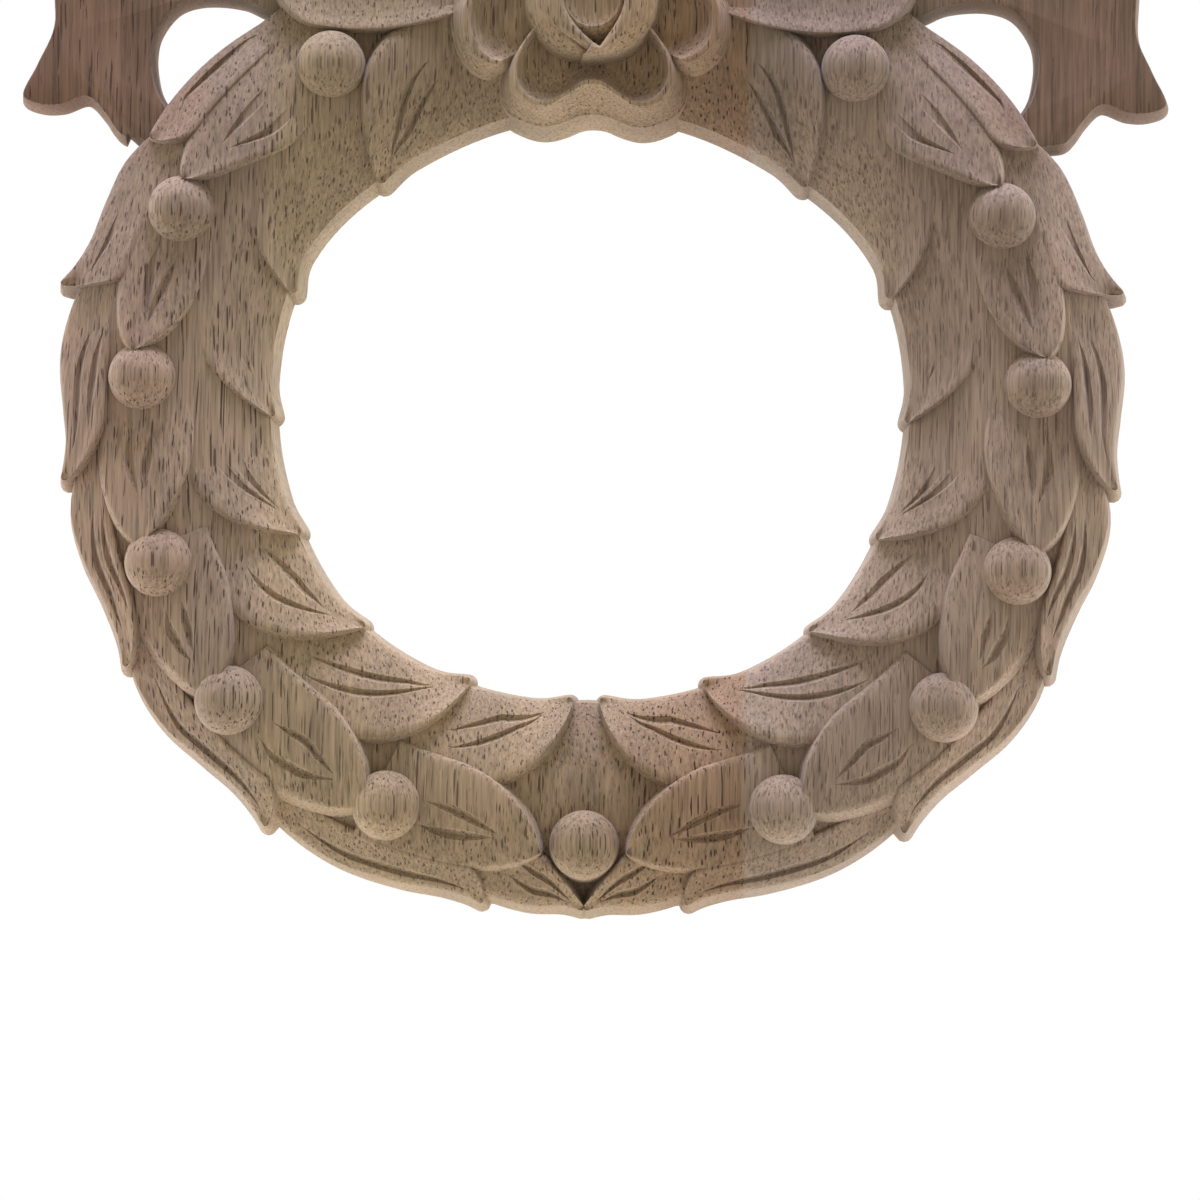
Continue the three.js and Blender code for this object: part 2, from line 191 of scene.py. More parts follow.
def skirted(name, rows, mirror=False, leans=(LEAN, LEAN)):
    """A carved top given as rows of points, with walls down to the back. leans: how much the walls lean where
    the rows begin and where they end. Toward the tip, both come back to the common lean."""
    top = [list(p) for row in rows for p in row]
    if mirror:
        top = [[-x, up, t] for x, up, t in top]
    starts = np.cumsum([0] + [len(row) for row in rows])
    last = len(rows) - 1
    ring = [starts[i] + len(rows[i]) - 1 for i in range(last + 1)]
    ring += [starts[last] + j for j in range(len(rows[last]) - 2, -1, -1)]
    ring += [starts[i] for i in range(last - 1, 0, -1)]
    ring += [starts[0] + j for j in range(len(rows[0]) - 1)]
    eased = [min((last - i) / CALM_ROWS, 1) for i in range(last + 1)]
    lean = [LEAN + (leans[1] - LEAN) * eased[i] for i in range(last + 1)]
    lean += [LEAN] * (len(rows[last]) - 1)
    lean += [LEAN + (leans[0] - LEAN) * eased[i] for i in range(last - 1, 0, -1)]
    lean += [leans[0] + (leans[1] - leans[0]) * j / (len(rows[0]) - 1) for j in range(len(rows[0]) - 1)]
    outline = np.array([top[v] for v in ring])
    x, y = outline[:, 0], outline[:, 1]
    turned = np.sum(x * np.roll(y, -1) - np.roll(x, -1) * y) < 0
    if turned:
        ring.reverse()
        lean.reverse()
        outline = outline[::-1]
    edge = np.roll(outline[:, :2], -1, axis=0) - outline[:, :2]
    normal = np.stack([edge[:, 1], -edge[:, 0]], 1)
    normal /= np.maximum(np.linalg.norm(normal, axis=1), 1e-9)[:, None]
    both = normal + np.roll(normal, 1, axis=0)
    dot = np.maximum((both**2).sum(1) / 2, 0.8)
    out = both / dot[:, None] * ((outline[:, 2] + BACK_ALLOWANCE) * np.array(lean))[:, None]
    foot = np.column_stack([outline[:, :2] + out, np.full(len(ring), -BACK_ALLOWANCE)])
    faces = []
    for i in range(last):
        near, far = len(rows[i]), len(rows[i + 1])
        for j in range(near - 1):
            a, b = starts[i] + j, starts[i + 1] + min(j, far - 1)
            c = starts[i + 1] + min(j + 1, far - 1)
            face = [a, a + 1, c] + ([b] if b != c else [])
            faces.append(face[::-1] if turned else face)
    count = len(ring)
    base = len(top)
    for i in range(count):
        j = (i + 1) % count
        faces.append([ring[i], base + i, base + j, ring[j]])
    faces.append([base + i for i in range(count - 1, -1, -1)])
    return to_object(name, top + foot.tolist(), [[int(v) for v in face] for face in faces])


# %% [markdown]
# ## Round blocks
#
# The berries and the heart of the rose are round, so they are made as on a lathe: a profile of radius and
# thickness is swept round a centre, and a leaning wall runs from it down past the back.

# %% Blocks from a profile
def turned_block(name, centre, profile, sides):
    """A round block from [radius, thickness] points that run inward."""
    rings = [[profile[0][0] + (profile[0][1] + BACK_ALLOWANCE) * LEAN, -BACK_ALLOWANCE]] + list(profile)
    points = []
    for radius, thickness in rings:
        for i in range(sides):
            a = 2 * math.pi * i / sides
            points.append([centre[0] + radius * math.cos(a), centre[1] + radius * math.sin(a), thickness])
    faces = [[i for i in range(sides - 1, -1, -1)]]
    for k in range(len(rings) - 1):
        for i in range(sides):
            j = (i + 1) % sides
            faces.append([k * sides + i, k * sides + j, (k + 1) * sides + j, (k + 1) * sides + i])
    faces.append([(len(rings) - 1) * sides + i for i in range(sides)])
    return to_object(name, points, faces)


# %% [markdown]
# ## Leaves
#
# Each laurel leaf starts under its neighbour and climbs toward its tip, like a roof tile, so its end stands
# clear and throws a thin shadow. Two gouge cuts run toward the tip. Each cut is a slim lens: it opens, gets
# deepest near its middle and closes again. The grid of the leaf follows the cuts, which keeps their edges
# crisp with few points, and the leaf's border is rounded over a little, where the cutter and the sandpaper
# have taken off the corner.

# %% Where the leaves end
outer_tips = [61.7, 80.2, 101.4, 122.4, 144.8, 169.1, 180]
middle_tips = [64.4, 87.2, 111, 130.7, 153, 174.8]
inner_tips = [47.3, 74, 97, 118.5, 138.3, 159, 177.6]
berry_angles = [40, 68, 90.4, 113.9, 132.5, 155.3, 180]
print("outer, middle and inner leaves on each side:", len(outer_tips), len(middle_tips), len(inner_tips))

# %% [markdown]
# ## Across a leaf
#
# The points across a leaf are spaced so that they follow what is carved there: close together in the
# rounded border and in each cut, and wide apart on the plain face between them. The list also says how deep
# each point lies.

# %% Columns of points
EDGE_STEPS = (0, 0.08, 0.3, 0.6)
CUT_STEPS = (-1, -0.7, -0.4, 0, 0.4, 0.7, 1)
WIDEST_EDGE = 0.18
FACE_STEPS = 5


def opening(from_tip, length, bluntness):
    x = min(max(from_tip / length, 0), 1)
    return (1 - (1 - x) ** 2) ** bluntness


def round_over(distance, width, depth):
    x = min(max(distance / width, 0), 1)
    return depth * (1 - math.sqrt(1 - (1 - x) ** 2))


def leaf_columns(width, edge_in, edge_out, cuts):
    """Places across the leaf, as shares of its width, with how deep each lies below the leaf's face."""
    places = []
    for share in EDGE_STEPS:
        places.append((min(share * edge_in[0] / width, share * WIDEST_EDGE), share, edge_in))
    places.append((min(edge_in[0] / width, WIDEST_EDGE), 1, edge_in))
    ends = []
    for share in EDGE_STEPS:
        ends.append((1 - min(share * edge_out[0] / width, share * WIDEST_EDGE), share, edge_out))
    ends.append((1 - min(edge_out[0] / width, WIDEST_EDGE), 1, edge_out))
    columns = [(s, round_over(share * e[0], e[0], e[1])) for s, share, e in places]
    left = columns[-1][0]
    stops = []
    for place, half, depth in cuts:
        stops.append([(place + half * q, depth * (1 - abs(q) ** 1.2)) for q in CUT_STEPS])
    tail = [(s, round_over(share * e[0], e[0], e[1])) for s, share, e in reversed(ends)]
    for group in stops + [tail]:
        for k in range(1, FACE_STEPS):
            columns.append((left + (group[0][0] - left) * k / FACE_STEPS, 0))
        columns += group
        left = group[-1][0]
    return columns


# %% [markdown]
# ## Along a leaf
#
# A leaf is a stack of such rows, from its root under the neighbour to its tip. The rows crowd toward the
# tip, where the outline turns fastest. The tip falls off in a small quarter round, like the border.

# %% One leaf
LEAF_SPAN = 32.0
LEAF_PITCH = 23.0
LEAF_RISE = 3.2
LEAF_DISH = 0.35
LEAF_ROWS = 44
END_ROUND = 1.3


def make_leaf(name, tip_angle, edges, lift, cuts_at, edge_in, edge_out, mirror, leans, calm=0.0,
              span=LEAF_SPAN):
    """calm: how much less the leaf climbs along its inner edge than along its outer one."""
    rows = []
    drop = max(edge_in[1], edge_out[1])
    for i in range(LEAF_ROWS):
        from_tip = span * (1 - i / LEAF_ROWS) ** 1.8
        angle = tip_angle - from_tip
        inner, outer = edges(from_tip)
        width = outer - inner
        fall = round_over(math.radians(from_tip) * inner, END_ROUND, drop)
        row = []
        for share, cut in leaf_columns(width, edge_in, edge_out, cuts_at(from_tip, width)):
            radius = inner + width * share
            climb = lift + LEAF_RISE * (0.5 - from_tip / LEAF_PITCH) * (1 - calm * (1 - share))
            dish = LEAF_DISH * (1 - (2 * share - 1) ** 2)
            row.append(on_ring(radius, angle, crown(radius, angle) + climb - dish - max(cut, fall)))
        rows.append(row)
    tip = sum(edges(0)) / 2
    rise = LEAF_RISE / 2 * (1 - calm)
    rows.append([on_ring(tip, tip_angle, crown(tip, tip_angle) + lift + rise - drop)])
    return skirted(name, rows, mirror, leans)


# %% [markdown]
# ## The gouge cuts
#
# Every cut is described by where it starts and ends, in degrees back from the leaf's tip, and by the share
# of the leaf's width at which it runs there and in the middle. The cuts of the real leaves differ a little
# from one to the next, so each leaf has its own. Two cuts of one leaf never touch, because each is kept
# clear of the one before.

# %% Gouge cuts
CUT_DEPTH = 0.85
FIRST_CUT = 0.2
LAST_CUT = 0.8
CUT_GAP = 0.012
THINNEST_CUT = 0.12


def lens(from_tip, start, end, full):
    u = (start - from_tip) / (start - end)
    if u <= 0 or u >= 1:
        return u, 0.0
    return u, full * math.sin(math.pi * u) ** 0.75


def bent(u, first, middle, last):
    u = min(max(u, 0), 1)
    return first * (1 - u) * (1 - 2 * u) + 4 * middle * u * (1 - u) + last * u * (2 * u - 1)


def cuts_from(specs):
    """specs: start, end, three places along the cut, half width in mm, depth."""
    def at(from_tip, width):
        cuts = []
        lowest = FIRST_CUT
        for start, end, path, half, depth in specs:
            u, size = lens(from_tip, start, end, 1)
            mm = half * max(size, THINNEST_CUT)
            share = mm / width
            place = max(bent(u, *path), lowest + share)
            cuts.append((place, share, depth * size))
            lowest = place + share + CUT_GAP
        over = lowest - LAST_CUT
        if over > 0:
            cuts = [(p - over, s, d) for p, s, d in cuts]
        return cuts
    return at


middle_cuts = [
    [(19, 6.5, (0.29, 0.25, 0.36)), (19.5, 6.5, (0.55, 0.6, 0.5))],
    [(12.5, 3.5, (0.38, 0.42, 0.45)), (13.5, 3.5, (0.65, 0.62, 0.5))],
    [(13, 6, (0.44, 0.48, 0.5)), (14, 5.5, (0.64, 0.66, 0.57))],
    [(11, 5, (0.5, 0.55, 0.6)), (11, 4.5, (0.68, 0.74, 0.68))],
    [(14.5, 5, (0.49, 0.46, 0.53)), (14.5, 4.5, (0.69, 0.75, 0.58))],
    [(15, 5.5, (0.45, 0.47, 0.56)), (15, 6, (0.68, 0.68, 0.62))],
]
inner_cuts = [
    [(20, 5.5, (0.47, 0.3, 0.17)), (20, 5, (0.64, 0.46, 0.22))],
    [(25, 8.5, (0.42, 0.31, 0.15)), (24, 8.5, (0.56, 0.42, 0.2))],
    [(23, 8, (0.37, 0.32, 0.27)), (23, 7.5, (0.59, 0.48, 0.33))],
    [(21, 6, (0.44, 0.38, 0.2)), (20.5, 5.5, (0.68, 0.54, 0.24))],
    [(21, 7, (0.43, 0.26, 0.26)), (18.5, 5.5, (0.63, 0.53, 0.33))],
    [(24, 5.5, (0.6, 0.36, 0.16)), (22, 5, (0.76, 0.52, 0.2))],
    [(18.5, 4.5, (0.49, 0.25, 0.14)), (17.5, 5, (0.65, 0.45, 0.24))],
]
outer_cuts = [
    [(19, 4.5, (0.45, 0.95, 0.6))],
    [(16.5, 1.8, (0.36, 0.56, 0.66))],
    [(16.5, 5, (0.08, 0.3, 0.38)), (17, 3, (0.42, 0.64, 0.74))],
    [(16.5, 5, (0.08, 0.3, 0.22)), (17, 3.5, (0.42, 0.68, 0.66))],
    [(19.5, 1.5, (0.46, 0.76, 0.82))],
    [(21, 2, (0.64, 0.74, 0.82))],
    [(8, 1.5, (0.2, 0.42, 0.7)), (8.5, 2, (0.5, 0.72, 0.85))],
]
print("cuts on each side:", sum(len(cuts) for cuts in outer_cuts + middle_cuts + inner_cuts))

# %% [markdown]
# ## Outer leaves
#
# The outer leaves lie along the rim. Each swings outward toward its tip, so the rim is a row of waves, and it
# ends in a small hook that breaks the rim's line. The lowest two meet at the bottom of the ring.

# %% Outer leaves
EDGE_LEAN = 0.3
OUTER_EDGE_IN = (1.5, 0.9)
OUTER_EDGE_OUT = (1.2, 0.6)
OUTER_CUT_HALF = 0.6
outer_end_length = [3.5, 2.5, 7, 8, 3, 2.5]
outer_lift = [0.2, -0.6, 0.4, 0.4, -0.6, -0.6, -0.6]
# The rim's waves: radius of the foot of each outer leaf by angle. It starts under the leaf before.
rim_waves = [
    [(30, 67.2), (43, 69.4), (50, 70.9), (57, 71.6), (62, 71.5)],
    [(56, 69), (65, 73.2), (70, 73.4), (75, 73.7), (78, 74.9), (81, 77.2)],
    [(74, 71), (82, 74.2), (88, 75.1), (93, 74.5), (97, 74.4), (100, 75.4), (102.3, 76.6)],
    [(97, 71), (104, 75.5), (110, 75.9), (115, 75.4), (120, 76.1), (123.3, 77.8)],
    [(115, 72), (124, 76.9), (130, 77.4), (135, 76.5), (140, 76.2), (143, 77.1), (145.7, 78.6)],
    [(137, 73), (146, 76.2), (152, 76.7), (160, 75.7), (165, 74.8), (167.5, 75.0), (170, 76.0)],
    [(162, 71), (170, 74.0), (174, 74.6), (178, 74.4), (180, 75.0)],
]
TIP_ROUND = 0.7


def rounded_off(distance):
    """How far a corner of TIP_ROUND radius has drawn back, at a distance from its end."""
    return round_over(distance, TIP_ROUND, TIP_ROUND)


# The lowest pair meets at the bottom of the ring: its inner edge by degrees back from the tip.
last_root = [(0, 73.4), (0.8, 72.0), (1.8, 70.4), (3.0, 68.9), (3.9, 67.9), (5.2, 66.9), (8, 66.5),
             (40, 66.5)]


def outer_leaf(i, mirror):
    tip_angle = outer_tips[i]
    foot_lean = LEAN * EDGE
    last = i == len(outer_tips) - 1

    def edges(from_tip):
        back = math.radians(from_tip) * RING
        rim = along(rim_waves[i], tip_angle - from_tip) - foot_lean - rounded_off(back)
        if last:
            return min(along(last_root, from_tip), rim), rim
        tip_radius = along(rim_waves[i], tip_angle) - foot_lean - TIP_ROUND
        root = guide("outer root", tip_angle - from_tip)
        return tip_radius + (root - tip_radius) * opening(from_tip, outer_end_length[i], 0.65), rim

    specs = [c + (OUTER_CUT_HALF, CUT_DEPTH) for c in outer_cuts[i]]
    make_leaf("outer leaf", tip_angle, edges, outer_lift[i], cuts_from(specs), OUTER_EDGE_IN, OUTER_EDGE_OUT,
              mirror, (EDGE_LEAN, LEAN))


# %% [markdown]
# ## Middle leaves
#
# The middle row covers the joint between the other two. A middle leaf comes out from under one berry and
# ends in a point at the next, so its tip is drawn toward that berry. The uppermost one has a fuller belly
# on its inner side.

# %% Middle leaves
MIDDLE_EDGE_IN = (1.1, 0.5)
MIDDLE_EDGE_OUT = (0.9, 0.45)
MIDDLE_CUT_HALF = 0.78
MIDDLE_END = (13.5, 0.65)
middle_belly = [1.5, 0, 0, 0, 0, 0]


def middle_leaf(i, mirror):
    tip_angle = middle_tips[i]
    tip_radius = guide("berry", berry_angles[i + 1]) + 0.3 * 4.75

    def edges(from_tip):
        open_ = opening(from_tip, *MIDDLE_END)
        inner = guide("middle in", tip_angle - from_tip)
        inner -= middle_belly[i] * math.exp(-(((from_tip - 12) / 6) ** 2))
        outer = guide("middle out", tip_angle - from_tip)
        return tip_radius - (tip_radius - inner) * open_, tip_radius + (outer - tip_radius) * open_

    specs = [c + (MIDDLE_CUT_HALF, CUT_DEPTH) for c in middle_cuts[i]]
    span = tip_angle - berry_angles[i]
    make_leaf("middle leaf", tip_angle, edges, 0, cuts_from(specs), MIDDLE_EDGE_IN, MIDDLE_EDGE_OUT, mirror,
              (EDGE_LEAN, EDGE_LEAN), span=span + 2)


# %% [markdown]
# ## Inner leaves
#
# The inner leaves lie along the hole. Their tips reach a little way into it, as small hooks, and their
# other edge sweeps round to the tip in a bow. They climb less along the hole than along the middle row.

# %% Inner leaves
INNER_EDGE_IN = (1.2, 0.5)
INNER_EDGE_OUT = (1.8, 1.0)
INNER_CUT_HALF = 0.7
INNER_LIFT = -0.4
# How far back from the tip an inner leaf is full, and how blunt it ends. The two lowest are the bluntest.
inner_ends = [(18, 1.1), (20, 0.88), (17.5, 1.1), (16, 1.1), (17, 1.1), (15, 0.68), (15, 0.68)]
# How far each tip reaches into the hole.
inner_hooks = [0.9, 1.3, 0.9, 0.7, 0.7, 1.2, 0.8]


def inner_leaf(i, mirror):
    tip_angle = inner_tips[i]
    tip_radius = hole_top(tip_angle) - inner_hooks[i] + TIP_ROUND

    def edges(from_tip):
        back = math.radians(from_tip) * tip_radius
        hook = inner_hooks[i] * math.exp(-((back / 3.2) ** 2))
        rim = hole_top(tip_angle - from_tip) - hook + rounded_off(back)
        out = guide("inner out", tip_angle - from_tip)
        return rim, tip_radius + (out - tip_radius) * opening(from_tip, *inner_ends[i])

    specs = [c + (INNER_CUT_HALF, CUT_DEPTH) for c in inner_cuts[i]]
    make_leaf("inner leaf", tip_angle, edges, INNER_LIFT, cuts_from(specs), INNER_EDGE_IN, INNER_EDGE_OUT,
              mirror, (LEAN, EDGE_LEAN), calm=0.5)


# %% [markdown]
# ## Both sides
#
# The wreath is the same left and right, so every leaf is made twice, the second time mirrored.

# %% Make all the leaves
for mirror in (False, True):
    for i in range(len(outer_tips)):
        outer_leaf(i, mirror)
    for i in range(len(middle_tips)):
        middle_leaf(i, mirror)
    for i in range(len(inner_tips)):
        inner_leaf(i, mirror)
print("leaves:", len(blocks))

# %% [markdown]
# ## Ground and berries
#
# Behind the leaves runs a band of plain ground, which closes the small gaps between them and shows at the
# bottom of the ring. It lies deeper there, and it has a pocket under each bow loop and beside the last
# berry, where the cutter has reached further in. The berries are low domes, each sitting at the tip of a
# middle leaf.

# %% Ground and berries
BERRY = 4.75
BERRY_TOP = CROWN + 2.1
BERRY_STEPS = 11
LOOP_POCKET = 3.4
BERRY_POCKET = 1.3
# How far the ground lies below the crown, by angle.
ground_depth = [(0, 1.35), (112, 1.35), (128, 2.2), (180, 2.2)]


def ground():
    sides, across = 180, [0, 0.1, 0.2, 0.35, 0.5, 0.65, 0.8, 0.9, 1]
    points, faces = [], []
    foot_lean = (EDGE + BACK_ALLOWANCE) * LEAN
    ring = len(across) + 2
    for i in range(sides):
        angle = 360 * i / sides
        inner, outer = hole_top(angle), rim_top(angle) - 1.2
        points.append(on_ring(inner - foot_lean, angle, -BACK_ALLOWANCE))
        for share in across:
            radius = inner + (outer - inner) * share
            side = min(angle, 360 - angle)
            by_loop = LOOP_POCKET * math.exp(-(((side - 31) / 7) ** 2)) * math.sin(math.pi * share)
            outward = min(max((share - 0.62) / 0.12, 0), 1)
            by_last_berry = BERRY_POCKET * math.exp(-(((180 - side) / 7) ** 2)) * outward
            top = crown(radius, angle) - along(ground_depth, side) - by_loop - by_last_berry
            points.append(on_ring(radius, angle, top))
        points.append(on_ring(outer + foot_lean, angle, -BACK_ALLOWANCE))
    for i in range(sides):
        j = (i + 1) % sides
        for k in range(ring):
            m = (k + 1) % ring
            faces.append([i * ring + k, i * ring + m, j * ring + m, j * ring + k])
    to_object("ground", points, faces)


def berry(angle, mirror=False):
    middle = on_ring(guide("berry", angle), angle, 0)
    if mirror:
        middle[0] = -middle[0]
    profile = []
    for k in range(BERRY_STEPS):
        a = math.pi / 2 * (1 - k / BERRY_STEPS)
        profile.append([BERRY * math.sin(a), BERRY_TOP - 0.75 * BERRY * (1 - math.cos(a))])
    turned_block("berry", middle, profile, 48)


ground()
for angle in berry_angles[:-1]:
    berry(angle)
    berry(angle, True)
berry(berry_angles[-1])
print("blocks with berries:", len(blocks))

# %% [markdown]
# ## Rose
#
# The rose has five cupped petals round a rolled bud. Each petal is drawn as two lines, its lip and its
# outer edge: the radius of both at a few turns away from the petal's middle. The front petal's lip dips in
# its middle, which gives it two lobes. The right petal is the left one mirrored and drawn in a little, as
# on the carving.

# %% Outlines of the petals
ROSE = 20.4


def smooth(x):
    x = min(max(x, 0), 1)
    return x * x * (3 - 2 * x)


def both_ways(table):
    return [(-turn, radius) for turn, radius in reversed(table[1:])] + table


# Radius by the turn away from the petal's middle in degrees. A side petal runs down to the front one and up
# to the back ones.
front_lip = both_ways([(0, 12.0), (8, 12.5), (15, 14.2), (21, 16.0), (26, 16.8), (32, 17.0), (38, 16.6),
                       (43, 15.8), (50, 13.8), (57, 10.8), (62, 8.6)])
front_edge = both_ways([(0, 15.7), (8, 16.2), (14, 17.4), (21, 18.7), (30, 19.4), (38, 19.5), (43, 18.9),
                        (50, 17.2), (57, 13.8), (62, 10.0)])
left_lip = [(-54, 8.6), (-48, 10.6), (-40, 13), (-33, 15), (-27, 16.0), (-19, 17.0), (-14, 17.6),
            (-8, 18.0), (0, 18.2), (8, 17.8), (13, 17.2), (17, 16.3), (21, 15.1), (27, 13.3), (34, 11.0),
            (42, 9.0), (50, 8.2)]
left_edge = [(-54, 10.2), (-48, 12.4), (-40, 15), (-33, 17), (-27, 18.1), (-19, 19.3), (-14, 19.9),
             (-8, 20.2), (0, 20.4), (8, 20.1), (13, 19.5), (17, 18.6), (21, 17.3), (27, 15.5), (34, 13),
             (42, 10.6), (50, 9.4)]
right_lip = [(turn, radius - 0.4 - 0.5 * smooth(turn / 16)) for turn, radius in left_lip]
right_edge = [(turn, radius - 0.7 - 0.4 * smooth(turn / 16)) for turn, radius in left_edge]
back_lip = both_ways([(0, 16.0), (8, 17.1), (14, 18.0), (20, 18.1), (27, 17.4), (33, 16.2), (40, 14),
                      (48, 10.8), (54, 8.6)])
back_edge = both_ways([(0, 18.0), (8, 19.1), (14, 19.8), (20, 19.8), (27, 19), (33, 17.8), (40, 15.5),
                       (48, 12.4), (54, 9.8)])
print("widest petal edge in mm from the rose's middle:", max(radius for turn, radius in left_edge))

# %% [markdown]
# ## Petals
#
# A petal is a block whose top falls from a rounded lip inward into a deep cup and outward down a hollow
# slope. It is swept round the rose's middle. Where two petals meet, one of them dips below the other's cup,
# so that the joining of the blocks keeps only the upper one.

# %% Five petals
LIP = 16.4
CUP = 4.3
CUP_START = 8.6
DIP = 7.0
PETAL_ROWS = 90
HUB = 7.0
INNER_STEPS = (0, 0.2, 0.4, 0.55, 0.68, 0.78, 0.86, 0.92, 0.96, 0.985)
OUTER_STEPS = (0, 0.12, 0.25, 0.4, 0.55, 0.7, 0.82, 0.92, 1.0)


def petal(direction, lip_table, edge_table, lip_height, low, way=1, under=(90, 90), roll=0.0):
    """way: which sense of turn the table counts as positive. under: how far the petal runs each way before it
    dips under its neighbour. roll: extra width of the rounded lip."""
    start, end = lip_table[0][0], lip_table[-1][0]
    rows = []
    for k in range(PETAL_ROWS + 1):
        turn = start + (end - start) * k / PETAL_ROWS
        lip = along(lip_table, turn)
        edge = along(edge_table, turn)
        hollow = min(CUP, max(lip - CUP_START, 0) * 1.5)
        dip = DIP * (smooth((-turn - under[0]) / 7) + smooth((turn - under[1]) / 7))
        profile = []
        for q in INNER_STEPS:
            r = HUB + (lip - 0.45 - roll - HUB) * q
            profile.append((r, lip_height - 0.12 - hollow * (1 - q**2.4) ** 0.6))
        if roll:
            profile.append((lip - roll, lip_height - 0.06))
        profile += [(lip - 0.3, lip_height - 0.03), (lip, lip_height), (lip + 0.3, lip_height - 0.06)]
        shoulder = lip_height - 0.42
        for q in OUTER_STEPS:
            r = lip + 0.55 + (edge - lip - 0.55) * q
            profile.append((r, low + (shoulder - low) * (1 - q) ** 1.4))
        a = math.radians(direction + way * turn)
        rows.append([[r * math.cos(a), r * math.sin(a), t - dip] for r, t in profile])
    skirted("petal", rows)


petal(126, back_lip, back_edge, LIP - 1.4, EDGE + 2, under=(26, 32), roll=0.7)
petal(54, back_lip, back_edge, LIP - 1.1, EDGE + 2, under=(32, 90), roll=0.7)
petal(199, left_lip, left_edge, LIP - 0.8, EDGE + 4.4, under=(90, 16), roll=0.5)
petal(341, right_lip, right_edge, LIP - 0.8, EDGE + 4.4, way=-1, under=(90, 16), roll=0.5)
petal(270, front_lip, front_edge, LIP - 0.9, EDGE + 1.2)
print("blocks with petals:", len(blocks))

# %% [markdown]
# ## Bud
#
# The bud is rolled from three layers round a small hollow heart. A low layer and a narrow band wrap it on
# the left, and one broad petal on the right runs over both and ends just left of the bottom. Between them
# stays an opening that comes to a point a little right of the bottom. Azimuths are counted from the right,
# counterclockwise: 90 is up and 270 is down.

# %% Shape of the opening
BUD_TOP = LIP + 2.6
BUD_CENTRE = (-0.3, 0.0)
BUD_POINT = 280
PETAL_START = 264


def from_azimuth(azimuth, middle):
    return abs((azimuth - middle + 180) % 360 - 180)


def bud_opening(azimuth):
    point = 3.4 * math.exp(-from_azimuth(azimuth, BUD_POINT) / 26)
    return 4.15 + 0.45 * math.cos(math.radians(azimuth)) + point


def bud_reach(azimuth):
    return 8.65 + 0.55 * smooth(from_azimuth(azimuth, 270) / 55)


print("opening of the bud in mm, up and at its point:", [round(bud_opening(a), 1) for a in (90, BUD_POINT)])

# %% [markdown]
# ## Wrapped layers
#
# A wrapped layer is again a profile swept round, but its inner and outer radius, its height and its fall
# change on the way, so that it can start narrow and grow into a broad petal.

# %% Wrapped petals and heart
WRAP_ROWS = 84
CREST = 0.8
CREST_STEPS = (0, 0.15, 0.35, 0.6, 1.0)
FALL_STEPS = (0.1, 0.25, 0.4, 0.55, 0.7, 0.82, 0.92, 1.0)


def wrapped(name, start, end, band):
    """A layer between two azimuths. band(azimuth, share) gives inner and outer radius, lip and drop."""
    rows = []
    for k in range(WRAP_ROWS + 1):
        share = k / WRAP_ROWS
        azimuth = start + (end - start) * share
        inner, outer, lip, drop = band(azimuth, share)
        a = math.radians(azimuth)
        crest = inner + min(CREST, (outer - inner) * 0.4)
        profile = [(inner + (crest - inner) * q, lip - 0.5 * (1 - q) ** 2) for q in CREST_STEPS]
        for q in FALL_STEPS:
            profile.append((crest + (outer - crest) * q, lip - drop * q**1.9))
        row = []
        for r, t in profile:
            row.append([BUD_CENTRE[0] + r * math.cos(a), BUD_CENTRE[1] + r * math.sin(a), t])
        rows.append(row)
    skirted(name, rows)


def low_layer(azimuth, share):
    inner = bud_opening(azimuth) + 1.2
    return inner, bud_reach(azimuth), BUD_TOP - 1.7 - smooth((share - 0.9) / 0.1), 2.6


def left_band(azimuth, share):
    inner = bud_opening(azimuth)
    return inner, inner + 1.3 + 1.3 * smooth(from_azimuth(azimuth, 276) / 70), BUD_TOP - 0.5, 0.45


def right_petal(azimuth, share):
    inner, outer = bud_opening(azimuth), bud_reach(azimuth)
    open_ = smooth((azimuth - PETAL_START) / 11)
    start = inner + (outer - 0.15 - inner) * (1 - open_)
    return start, outer, BUD_TOP - 0.9 * (1 - open_), 2.6 * (0.3 + 0.7 * open_)


wrapped("bud layer", 80, 268, low_layer)
wrapped("bud band", 80, 276, left_band)
wrapped("bud petal", PETAL_START, 100 + 360, right_petal)
# Radius of the heart, and how deep it lies below the bud's top.
heart = [(7.4, 5.4), (6.5, 4.3), (5.5, 3.2), (4.8, 2.3), (4.35, 1.7), (4.05, 1.35), (3.8, 1.25), (3.6, 1.4),
         (3.3, 1.75), (2.6, 2.0), (1.5, 2.1), (0.4, 2.1)]
turned_block("bud heart", (0.0, -0.8), [[r, BUD_TOP - deep] for r, deep in heart], 64)
print("blocks with rose:", len(blocks))

# %% [markdown]
# ## Ribbon tails
#
# Two ribbon tails swing out from behind the bow and end in a waving cut. They are flat and thinner than the
# ring. A tail is one closed outline, drawn as a smooth curve through a few points, given here as shares of
# the ring's radius.

# %% Outline of a tail
tail_outline = [
    (-0.34, 0.82), (-0.6, 0.9), (-0.8, 0.925), (-0.96, 0.9), (-1.02, 0.83), (-1.015, 0.74), (-1.015, 0.66),
    (-1.045, 0.59), (-1.07, 0.53), (-1.04, 0.515), (-1.0, 0.515), (-0.95, 0.53), (-0.915, 0.498),
    (-0.898, 0.473), (-0.881, 0.456), (-0.846, 0.45), (-0.8, 0.43), (-0.76, 0.46),
    (-0.798, 0.505), (-0.82, 0.54), (-0.829, 0.575), (-0.832, 0.615), (-0.824, 0.655),
    (-0.788, 0.703), (-0.74, 0.72), (-0.66, 0.715), (-0.6, 0.692), (-0.4, 0.7),
]


